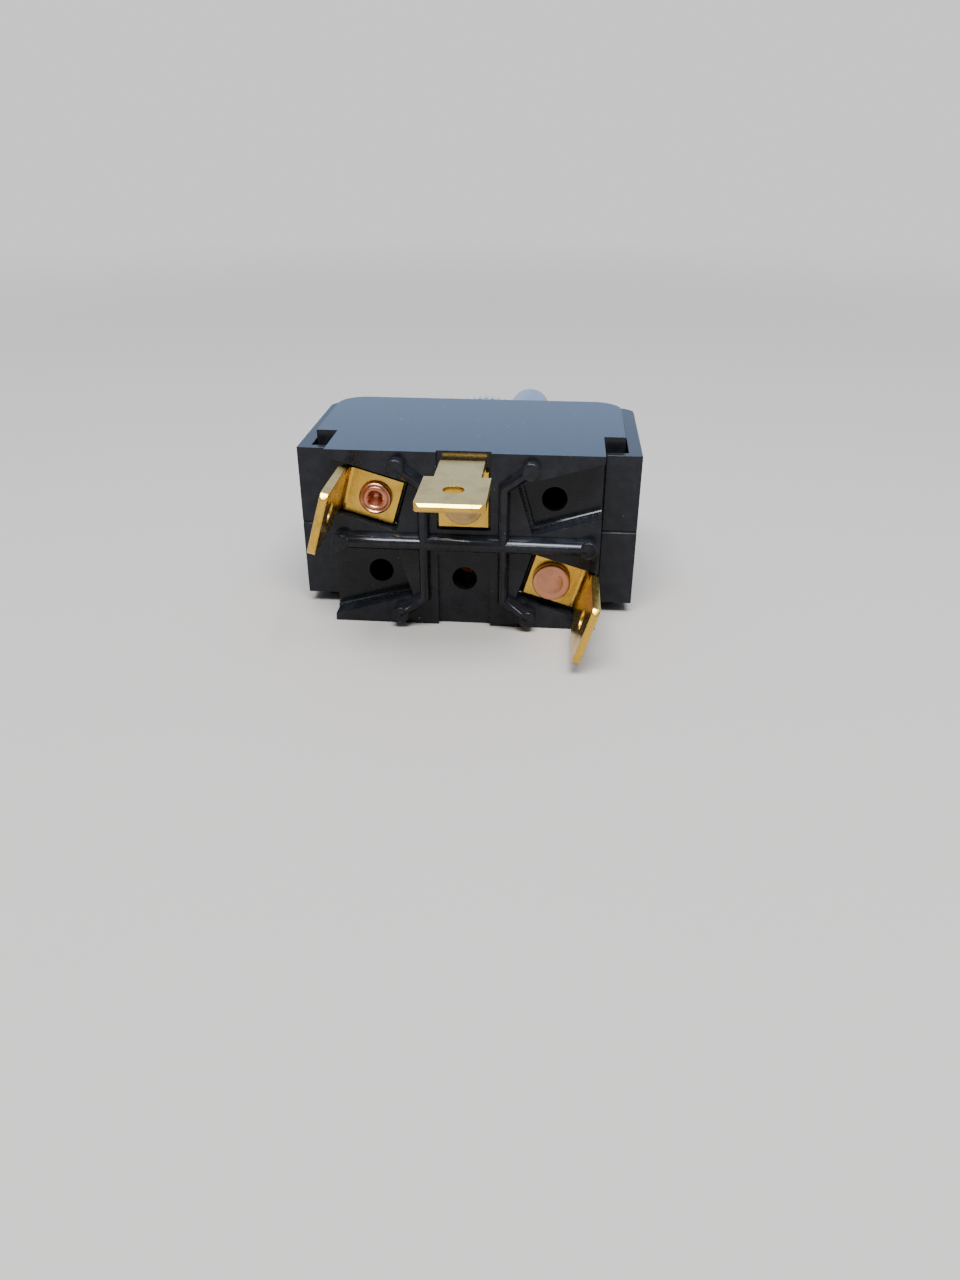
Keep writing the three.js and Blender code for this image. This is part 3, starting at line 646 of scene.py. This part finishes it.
def ring_tree():
    """Lays the fine raised ring of an ejector pin's mark on every point, at the height of the ribs."""
    tree, given = start_tree("Ejector Rings", ("Radius", 0.8 * MM), ("Height", RIB_HEIGHT))
    thin = 0.035 * MM
    circle = add(tree, "GeometryNodeCurvePrimitiveCircle", {"Resolution": 40, "Radius": given["Radius"]})
    section = add(tree, "GeometryNodeCurvePrimitiveCircle", {"Resolution": 8, "Radius": thin})
    paths = {"Curve": circle.outputs[0], "Profile Curve": section.outputs[0]}
    ring = add(tree, "GeometryNodeCurveToMesh", paths)
    lift = add(tree, "ShaderNodeCombineXYZ", {"Z": maths(tree, "SUBTRACT", given["Height"], thin)})
    moved = {"Geometry": ring.outputs[0], "Translation": lift.outputs[0]}
    raised = add(tree, "GeometryNodeTransform", moved)
    output_of(tree, copies(tree, given["Geometry"], raised.outputs[0]), given["Material"])
    return tree


def knurl_tree():
    """Sets straight ridges round a rim whose axis is Z, and keeps the nut they stand on."""
    tree, given = start_tree(
        "Knurled Rim",
        ("Count", 60),
        ("Radius", 7.3 * MM),
        ("Ridge", 0.3 * MM),
        ("Length", 1.4 * MM),
    )
    circle = add(tree, "GeometryNodeMeshCircle", {"Vertices": given["Count"], "Radius": given["Radius"]})
    square = {"Vertices": 4, "Radius": given["Ridge"], "Depth": given["Length"]}
    ridge = add(tree, "GeometryNodeMeshCylinder", square)
    step = maths(tree, "DIVIDE", 2 * math.pi, given["Count"])
    angle = maths(tree, "MULTIPLY", add(tree, "GeometryNodeInputIndex").outputs[0], step)
    turn = add(tree, "ShaderNodeCombineXYZ", {"Z": angle}).outputs[0]
    ridges = copies(tree, circle.outputs[0], ridge.outputs["Mesh"], turn)
    both = add(tree, "GeometryNodeJoinGeometry")
    tree.links.new(given["Geometry"], both.inputs[0])
    tree.links.new(ridges, both.inputs[0])
    output_of(tree, both.outputs[0], given["Material"])
    return tree


def spring_tree():
    """A round wire wound in a helix up Z."""
    tree, given = start_tree(
        "Coil Spring",
        ("Turns", 6.5),
        ("Radius", 1.2 * MM),
        ("Height", 4.7 * MM),
        ("Wire", 0.22 * MM),
    )
    helix = add(
        tree,
        "GeometryNodeCurveSpiral",
        {
            "Resolution": 28,
            "Rotations": given["Turns"],
            "Start Radius": given["Radius"],
            "End Radius": given["Radius"],
            "Height": given["Height"],
        },
    )
    section = add(tree, "GeometryNodeCurvePrimitiveCircle", {"Resolution": 12, "Radius": given["Wire"]})
    wire = add(
        tree,
        "GeometryNodeCurveToMesh",
        {"Curve": helix.outputs[0], "Profile Curve": section.outputs[0], "Fill Caps": True},
    )
    output_of(tree, wire.outputs[0], given["Material"])
    return tree


# ---------------------------------------------------------------- pieces

RIB_X = 4.1 * MM
RIB_REACH = 6.1 * MM
LONG_RIB_REACH = 12.7 * MM
PAD_X = 6.7 * MM
PAD_Z = 8.05 * MM
PAD_RADIUS = 0.9 * MM
LONG_RIB_WIDTH = 1.7 * MM
CROSS_RIB_WIDTH = 1.36 * MM


def swept_ribs(height):
    """The long rib, the two cross ribs with their slanted ends, and the pads, as one closed body."""
    tree = rib_tree()
    material = MATERIALS["moulding"]
    long_path = point_cloud("long_rib", [(-LONG_RIB_REACH, 0, 0), (LONG_RIB_REACH, 0, 0)], [(0, 1)])
    sizes = {"Width": LONG_RIB_WIDTH, "Height": height, "Material": material}
    whole = grown(long_path, "long_rib", tree, sizes)
    sizes["Width"] = CROSS_RIB_WIDTH
    for side in (-1, 1):
        points = [
            (side * PAD_X, -PAD_Z, 0),
            (side * RIB_X, -RIB_REACH, 0),
            (side * RIB_X, RIB_REACH, 0),
            (side * PAD_X, PAD_Z, 0),
        ]
        path = point_cloud("cross_rib", points, [(0, 1), (1, 2), (2, 3)])
        whole = cut(whole, grown(path, "cross_rib", tree, sizes), "UNION")
    points = [(x * PAD_X, z * PAD_Z, 0) for x in (-1, 1) for z in (-1, 1)]
    points += [(x * LONG_RIB_REACH, 0, 0) for x in (-1, 1)]
    sizes = {"Radius": PAD_RADIUS, "Height": height, "Material": material}
    pads = grown(point_cloud("pads", points), "pads", pad_tree(), sizes)
    whole = cut(whole, rounded(pads, "soft_pads", 0.07 * MM), "UNION")
    set_down(whole, ON_REAR_FACE)
    sizes["Radius"] = PAD_RADIUS - 0.1 * MM
    rings = grown(point_cloud("rings", points), "rings", ring_tree(), sizes)
    set_down(rings, ON_REAR_FACE)
    return whole, rings


class SWITCH_OT_moulded_base(bpy.types.Operator):
    """Moulded base: pockets, holes, rounded edges, ribs and ejector pads"""

    bl_idname = "switch.moulded_base"
    bl_label = "Moulded Base"

    def execute(self, context):
        sizes = context.scene.switch_moulding
        shell = cleaned_copy("terminal_base", "base_shell")
        proud = box_object(
            "proud",
            (BASE_LOW.x - MM, BASE_LOW.y - MM, BASE_LOW.z - MM),
            (BASE_HIGH.x + MM, REAR_FACE_Y + 0.002 * MM, BASE_HIGH.z + MM),
        )
        shell = cut(shell, proud)
        places = [centre_of(n) for n in ("rivet_left", "rivet_centre", "rivet_right")]
        column = (places[2].x - places[0].x) / 2
        row = (places[0].z - places[2].z) / 2
        depth = 8 * MM
        for x in (-column, 0, column):
            for z in (-row, row):
                ends = [(0, -MM), (sizes.hole_radius, -MM), (sizes.hole_radius, depth), (0, depth)]
                drill = revolve("drill", ends, Matrix.Translation((x, REAR_FACE_Y, MIDDLE_Z + z)), 56)
                shell = cut(shell, drill)
        tidy(shell.data)
        self.fillet_pockets(shell.data, sizes.fillet)
        shell = rounded(shell, "base_rounded", sizes.edge)
        ribs, rings = swept_ribs(sizes.rib_height)
        base = cut(shell, ribs, "UNION")
        joined(base, rings)
        base.name = "moulded_base"
        finish(base, "terminal_base", "housing", "moulding", flat=True, edge_marks_from=REAR_FACE_Y - 0.01 * MM)
        return {"FINISHED"}

    @staticmethod
    def fillet_pockets(mesh, radius):
        """Fills the inner corners at the foot of the terminal pockets' walls."""
        shape = bmesh.new()
        shape.from_mesh(mesh)
        near, far = REAR_FACE_Y + 1.0 * MM, REAR_FACE_Y + 2.4 * MM
        feet = [
            e
            for e in shape.edges
            if len(e.link_faces) == 2
            and not e.is_convex
            and all(near < v.co.y < far for v in e.verts)
            and e.calc_length() > 1.5 * MM
            and e.calc_face_angle() > 0.5
        ]
        bmesh.ops.bevel(shape, geom=feet, offset=radius, segments=5, affect="EDGES", clamp_overlap=True)
        shape.to_mesh(mesh)
        shape.free()


class SWITCH_OT_mounting_frame(bpy.types.Operator):
    """Black sheet-steel frame with its folded lips"""

    bl_idname = "switch.mounting_frame"
    bl_label = "Mounting Frame"

    def execute(self, context):
        made = rounded(cleaned_copy("mounting_frame", "frame_copy"), "frame_shell", 0.14 * MM)
        finish(made, "mounting_frame", "housing", "coated_steel", flat=True, edge_marks_from=FRAME_LOW.y + 0.3 * MM)
        return {"FINISHED"}


class SWITCH_OT_blade_terminals(bpy.types.Operator):
    """The three stamped brass terminals"""

    bl_idname = "switch.blade_terminals"
    bl_label = "Blade Terminals"

    def execute(self, context):
        edge = context.scene.switch_metal.sheet_edge
        for side in ("left", "centre", "right"):
            node = "terminal_" + side
            made = cleaned_copy(node, node + "_copy")
            self.coin_tip(made.data, 0.24 * MM)
            made = rounded(made, "blade_" + side, edge)
            finish(made, node, "housing", "brass", flat=True)
        return {"FINISHED"}

    @staticmethod
    def coin_tip(mesh, width):
        """Slopes the two long edges of the blade's end, for an easy push fit."""
        shape = bmesh.new()
        shape.from_mesh(mesh)
        end = min(v.co.y for v in shape.verts) + 0.02 * MM
        sides = [e for e in shape.edges if all(v.co.y < end for v in e.verts) and e.calc_length() > 3 * MM]
        bmesh.ops.bevel(shape, geom=sides, offset=width, segments=1, affect="EDGES", clamp_overlap=True)
        shape.to_mesh(mesh)
        shape.free()


class SWITCH_OT_rivets(bpy.types.Operator):
    """One rolled tubular rivet and two flat-headed ones"""

    bl_idname = "switch.rivets"
    bl_label = "Rivets"

    head_depth = {"left": 0.6 * MM, "centre": 0.5 * MM, "right": 0.8 * MM}

    def execute(self, context):
        self.rivet("left", "copper", self.rolled_head)
        self.rivet("centre", "bronze", self.flat_head)
        self.rivet("right", "copper", self.flat_head)
        return {"FINISHED"}

    def rivet(self, side, slot_name, head):
        low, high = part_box("rivet_" + side)
        middle = (low + high) / 2
        radius = (high.x - low.x) / 2
        length = high.y - low.y
        shank, inner = 1.12 * MM, 1.35 * MM
        under = self.head_depth[side]
        tail = length - 0.5 * MM
        profile = head(radius, under)
        profile += [(shank, under), (shank, tail), (inner - 0.1 * MM, tail)]
        profile += [(inner, tail + 0.1 * MM), (inner - 0.15 * MM, length), (0, length)]
        place = Matrix.Translation((middle.x, low.y, middle.z))
        made = revolve("rivet_head_" + side, profile, place, 72)
        finish(made, "rivet_" + side, "housing", slot_name, 50.0)

    @staticmethod
    def rolled_head(radius, under):
        """A curled rim round a hollow, with the ring marks that the rolling tool leaves."""
        curl = 0.27 * MM
        crest = radius - 2.3 * curl
        profile = [(0, 1.15 * MM), (0.22 * MM, 1.12 * MM), (0.42 * MM, 0.95 * MM), (0.55 * MM, 0.6 * MM)]
        profile += arc(curl, crest, curl + 0.02 * MM, 180, 280, 6)
        profile += [(crest + 0.16 * MM, 0.1 * MM), (crest + 0.24 * MM, 0.16 * MM)]
        profile += arc(0.3 * MM, radius - 0.3 * MM, 0.34 * MM, -80, 0, 6)
        profile += [(radius, under - 0.06 * MM), (radius - 0.06 * MM, under)]
        return profile

    @staticmethod
    def flat_head(radius, under):
        """A flat head with a soft rim and one shallow turned ring."""
        soft = 0.16 * MM
        profile = [(0, 0.03 * MM), (radius * 0.3, 0.025 * MM), (radius * 0.62, 0.02 * MM)]
        profile += [(radius * 0.66, 0.045 * MM), (radius * 0.7, 0.015 * MM)]
        profile += arc(soft, radius - soft, soft, -90, 0, 5)
        profile += [(radius, under - 0.05 * MM), (radius - 0.05 * MM, under)]
        return profile


def lever_place():
    """Upright drawing to the tilted lever: local Y runs out along the lever from the pivot."""
    turn = Vector((0, 1, 0)).rotation_difference(LEVER_AXIS).to_matrix().to_4x4()
    return Matrix.Translation(PIVOT) @ turn


class SWITCH_OT_lever(bpy.types.Operator):
    """Bat lever with its ball and the hollow inner end"""

    bl_idname = "switch.lever"
    bl_label = "Toggle Lever"

    def execute(self, context):
        tip, reach = 2.9 * MM, 27.9 * MM
        ball, stem, barrel, bore = 3.5 * MM, 2.1 * MM, 2.7 * MM, 1.8 * MM
        bore_floor, inner, soft, rim = 1.6 * MM, 11.0 * MM, 0.15 * MM, 0.2 * MM
        low = -math.degrees(math.acos(barrel / ball))
        high = math.degrees(math.acos(stem / ball))
        profile = [(0, -bore_floor), (bore, -bore_floor), (bore, -inner + soft), (bore + soft, -inner)]
        profile += [(barrel - rim, -inner), (barrel, -inner + rim)]
        profile += arc(ball, 0, 0, low, high, 24)
        neck, swell, steps = 9.0 * MM, reach - 5.0 * MM, 12
        for k in range(steps + 1):
            t = k / steps
            ease = t * t * (3 - 2 * t)
            profile.append((stem + (tip * 0.95 - stem) * (0.35 * t + 0.65 * ease), neck + (swell - neck) * t))
        profile += [(tip * 0.985, reach - 2.6 * MM)]
        profile += arc(tip, 0, reach, 0, 90, 20)[:-1] + [(0, reach + tip)]
        made = revolve("lever_bat", profile, lever_place(), 80)
        pin, across = 1.1 * MM, 5 * MM
        drill = [(0, -across), (pin, -across), (pin, across), (0, across)]
        upright = Matrix.Translation(PIVOT) @ Matrix.Rotation(math.radians(90), 4, "X")
        made = cut(made, revolve("pin_hole", drill, upright, 32))
        made.name = "lever_bat"
        finish(made, "toggle_lever", "lever", "satin_nickel", 35.0)
        return {"FINISHED"}


class SWITCH_OT_bushing(bpy.types.Operator):
    """Threaded bushing with its keyway and ball seat"""

    bl_idname = "switch.bushing"
    bl_label = "Bushing"

    segments = 144

    def execute(self, context):
        thread = context.scene.switch_thread
        low, high = BUSHING_LOW, BUSHING_HIGH
        crest = 5.95 * MM
        key_half, key_floor = 0.8 * MM, 5.25 * MM
        flange = (high.x - low.x) / 2
        pivot = PIVOT.y
        start, end = FRAME_HIGH.y + 0.1 * MM, high.y
        rows = int((end - start) / thread.pitch * 10)
        shank, top = 5.2 * MM, low.y + 1.3 * MM
        profile = [(flange - 0.15 * MM, low.y), (flange, low.y + 0.15 * MM), (flange, top - 0.1 * MM)]
        profile += [(flange - 0.1 * MM, top), (shank, top), (shank, start)]
        first = len(profile)
        profile += [(crest, start + (end - start) * k / rows) for k in range(rows + 1)]
        last = len(profile) - 1
        clear, neck = 3.8 * MM, 3.1 * MM
        rise = math.sqrt(clear * clear - neck * neck)
        profile += [(crest - 0.75 * MM, end), (crest - 1.1 * MM, end - 0.1 * MM)]
        profile += [(neck + 0.1 * MM, pivot + rise + 0.3 * MM)]
        profile += arc(clear, 0, pivot, math.degrees(math.atan2(rise, neck)), 0, 10)
        profile += [(clear + 0.7 * MM, low.y)]

        def radius_at(row, r, y, a):
            if not first <= row <= last:
                return r
            phase = ((y - start) / thread.pitch - a / (2 * math.pi)) % 1.0
            ridge = 1 - min(1.0, abs(phase - 0.5) * 2.4)
            fade = min(1.0, (y - start) / thread.pitch, (end - y) / thread.pitch)
            lead_in = max(0.0, 1 - (end - y) / (0.6 * MM)) * 0.5 * MM
            reach = r - thread.depth * (1 - ridge) * max(0.0, fade) - lead_in
            across, up = abs(math.sin(a)) * reach, math.cos(a) * reach
            if across < key_half and up > key_floor:
                return key_floor / math.cos(a)
            return reach

        place = Matrix.Translation((0, 0, MIDDLE_Z))
        made = revolve("threaded_bushing", profile, place, self.segments, radius_at)
        finish(made, "bushing", "housing", "plated_steel", 45.0)
        return {"FINISHED"}


class SWITCH_OT_nuts_and_washers(bpy.types.Operator):
    """Locating washer, toothed washer, hex nut and knurled face nut"""

    bl_idname = "switch.nuts_and_washers"
    bl_label = "Nuts and Washers"

    def execute(self, context):
        for node, name, body, edge in (
            ("locating_washer", "locating_ring", "housing", 0.1 * MM),
            ("lock_washer", "toothed_ring", "housing", 0.05 * MM),
            ("hex_nut", "hex_back_nut", "hex_nut", 0.1 * MM),
        ):
            made = rounded(cleaned_copy(node, node + "_copy"), name, edge)
            finish(made, node, body, "plated_steel", flat=True)
        self.face_nut(context.scene.switch_thread)
        return {"FINISHED"}

    def face_nut(self, thread):
        low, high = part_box("face_nut")
        rim = (high.x - low.x) / 2
        bore, edge = 6.12 * MM, 0.25 * MM
        ridge = 0.42 * MM
        core = rim - 0.3 * MM
        half = (high.y - low.y) / 2
        profile = [(bore + 0.2 * MM, -half), (core - edge, -half), (core, edge - half), (core, half - edge)]
        profile += [(core - edge, half), (bore + 0.2 * MM, half)]
        profile += [(bore, half - 0.2 * MM), (bore, 0.2 * MM - half)]
        lying = Matrix.Rotation(math.radians(90), 4, "X")
        nut = revolve("nut_core", profile, lying, 96)
        sizes = {
            "Count": thread.knurls,
            "Radius": rim - ridge,
            "Ridge": ridge,
            "Length": 2 * (half - edge),
            "Material": MATERIALS["plated_steel"],
        }
        made = grown(nut, "knurled_nut", knurl_tree(), sizes)
        middle = (low + high) / 2
        set_down(made, Matrix.Translation(middle) @ Matrix.Rotation(math.radians(-90), 4, "X"))
        finish(made, "face_nut", "face_nut", "plated_steel", 35.0)


class SWITCH_OT_spring_and_plunger(bpy.types.Operator):
    """Coil spring and nylon plunger inside the lever"""

    bl_idname = "switch.spring_and_plunger"
    bl_label = "Spring and Plunger"

    def execute(self, context):
        thread = context.scene.switch_thread
        place = lever_place()
        start, height, stroke = -6.65 * MM, 4.7 * MM, 0.6 * MM
        sizes = {
            "Turns": thread.spring_turns,
            "Radius": 1.2 * MM,
            "Height": height,
            "Wire": 0.22 * MM,
            "Material": MATERIALS["plated_steel"],
        }
        coil = grown(point_cloud("coil", [(0, 0, 0)]), "spring_coil", spring_tree(), sizes)
        upright = Matrix.Translation((0, start, 0)) @ Matrix.Rotation(math.radians(-90), 4, "X")
        set_down(coil, place @ upright)
        finish(coil, "plunger_spring", "lever", "plated_steel", 60.0)
        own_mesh(coil)
        low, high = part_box("plunger")
        radius = (high.z - low.z) / 2
        top = 7.0 * MM
        centre = (PIVOT.y - low.y - radius) / LEVER_AXIS.y
        profile = [(0, -top), (radius - 0.15 * MM, -top), (radius, -top - 0.15 * MM)]
        profile += arc(radius, 0, -centre, 0, -90, 12)[:-1] + [(0, -centre - radius)]
        made = revolve("nylon_plunger", profile, place, 48)
        finish(made, "plunger", "plunger", "nylon", 40.0)
        return {"FINISHED"}


class SWITCH_OT_inner_contacts(bpy.types.Operator):
    """Finishes of the pieces that stay as the CAD made them"""

    bl_idname = "switch.inner_contacts"
    bl_label = "Inner Contacts"

    def execute(self, context):
        slots = {s["node"]: s["material_slot"] for s in frame["record"]["subparts"]}
        for name, node in frame["nodes"].items():
            if node.hide_render:
                continue
            for place in node.material_slots:
                place.material = MATERIALS[slots[name]]
        return {"FINISHED"}


# ---------------------------------------------------------------- stage


def area_light(name, size, power, colour, place, target=(0, -0.02, 0)):
    data = bpy.data.lights.new(name, "AREA")
    data.shape = "RECTANGLE"
    data.size, data.size_y = size
    data.energy = power
    data.color = colour
    made = bpy.data.objects.new(name, data)
    made.location = place
    made.rotation_euler = (Vector(target) - Vector(place)).to_track_quat("-Z", "Y").to_euler()
    bpy.context.scene.collection.objects.link(made)
    return made


class SWITCH_OT_stage(bpy.types.Operator):
    """Camera, pale floor and soft studio light"""

    bl_idname = "switch.stage"
    bl_label = "Stage"

    def execute(self, context):
        stage = context.scene.switch_stage
        self.camera(stage)
        self.floor(stage)
        self.light(stage)
        return {"FINISHED"}

    def camera(self, stage):
        data = bpy.data.cameras.new("Camera")
        data.lens = stage.lens
        data.sensor_width = 36.0
        data.clip_start = MM
        camera = bpy.data.objects.new("Camera", data)
        eye = Vector((9.05 * MM, REAR_FACE_Y - 90.0 * MM, 47.6 * MM))
        right = Vector((0.99657, 0.08272, 0.00202)).normalized()
        ahead = Vector((-0.07162, 0.87448, -0.47975)).normalized()
        up = right.cross(ahead).normalized()
        right = ahead.cross(up)
        camera.matrix_world = Matrix.Translation(eye) @ Matrix((right, up, -ahead)).transposed().to_4x4()
        bpy.context.scene.collection.objects.link(camera)
        bpy.context.scene.camera = camera

    def floor(self, stage):
        """A large sheet of pale paper that fades into the light of the far distance."""
        sides, reach = 64, 6.0
        turns = [2 * math.pi * k / sides for k in range(sides)]
        rim = [(reach * math.cos(a), reach * math.sin(a), 0.0) for a in turns]
        faces = [(0, k + 1, (k + 1) % sides + 1) for k in range(sides)]
        mesh = mesh_from("studio_floor", [(0, 0, 0), *rim], faces)
        sheet = new_object("studio_floor", mesh)
        matt = {"Roughness": 1.0, "Specular IOR Level": 0.0, "Emission Strength": 1.0}
        material, tree, shader, place = blank_material("Studio Paper", matt)
        grain = group(tree, fine_grain, {"Vector": place, "Scale": 0.5, "Depth": 0.02})
        paper = mixed(tree, grain["Mottle"], tint(stage.floor, 0.985), tuple(stage.floor))
        away = add(tree, "ShaderNodeVectorMath", {0: place}, operation="LENGTH").outputs["Value"]
        far = ramp(tree, away, 80.0, 380.0)
        none, light = (0, 0, 0), (stage.horizon,) * 3
        tree.links.new(mixed(tree, far, paper, none), shader.inputs["Base Color"])
        tree.links.new(mixed(tree, far, none, light), shader.inputs["Emission Color"])
        sheet.data.materials.append(material)

    def light(self, stage):
        area_light("top_soft", (0.45, 0.2), stage.key_power, (0.94, 0.97, 1.0), (0.02, -0.2, 0.5))
        world = bpy.data.worlds.new("Room")
        world.use_nodes = True
        tree = world.node_tree
        place = add(tree, "ShaderNodeTexCoord").outputs["Generated"]
        ray = add(tree, "ShaderNodeSeparateXYZ", {0: place}).outputs
        grey = (stage.room,) * 3
        behind = maths(tree, "MULTIPLY", ramp(tree, ray["Y"], 0.1, 0.6), ramp(tree, ray["Z"], 0.6, 0.42))
        sides = mixed(tree, behind, grey, tuple(stage.window))
        above = mixed(tree, ramp(tree, ray["Z"], 0.6, 0.9), sides, tuple(stage.ceiling))
        whole = mixed(tree, ramp(tree, ray["Z"], 0.17, 0.09), above, (stage.horizon,) * 3)
        tree.links.new(whole, tree.nodes["Background"].inputs["Color"])
        bpy.context.scene.world = world


# ---------------------------------------------------------------- panel and registration

PIECE_OPERATORS = (
    SWITCH_OT_moulded_base,
    SWITCH_OT_mounting_frame,
    SWITCH_OT_blade_terminals,
    SWITCH_OT_rivets,
    SWITCH_OT_lever,
    SWITCH_OT_bushing,
    SWITCH_OT_nuts_and_washers,
    SWITCH_OT_spring_and_plunger,
    SWITCH_OT_inner_contacts,
    SWITCH_OT_stage,
)
SETTINGS = {
    "switch_moulding": SwitchMoulding,
    "switch_metal": SwitchMetal,
    "switch_thread": SwitchThread,
    "switch_stage": SwitchStage,
}


class SWITCH_PT_panel(bpy.types.Panel):
    """Lists the switch's pieces and their sizes"""

    bl_idname = "SWITCH_PT_panel"
    bl_label = "Toggle Switch"
    bl_space_type = "VIEW_3D"
    bl_region_type = "UI"
    bl_category = "Switch"

    def draw(self, context):
        for operator in PIECE_OPERATORS:
            self.layout.operator(operator.bl_idname)
        for name, kind in SETTINGS.items():
            box = self.layout.box()
            for prop in kind.__annotations__:
                box.prop(getattr(context.scene, name), prop)


def register():
    for kind in (*SETTINGS.values(), *PIECE_OPERATORS, SWITCH_PT_panel):
        bpy.utils.register_class(kind)
    for name, kind in SETTINGS.items():
        setattr(bpy.types.Scene, name, PointerProperty(type=kind))


def unregister():
    for name in SETTINGS:
        delattr(bpy.types.Scene, name)
    for kind in reversed((*SETTINGS.values(), *PIECE_OPERATORS, SWITCH_PT_panel)):
        bpy.utils.unregister_class(kind)


def main():
    register()
    make_materials(bpy.context.scene)
    for operator in PIECE_OPERATORS:
        area, name = operator.bl_idname.split(".")
        getattr(getattr(bpy.ops, area), name)()


if __name__ == "__main__":
    main()
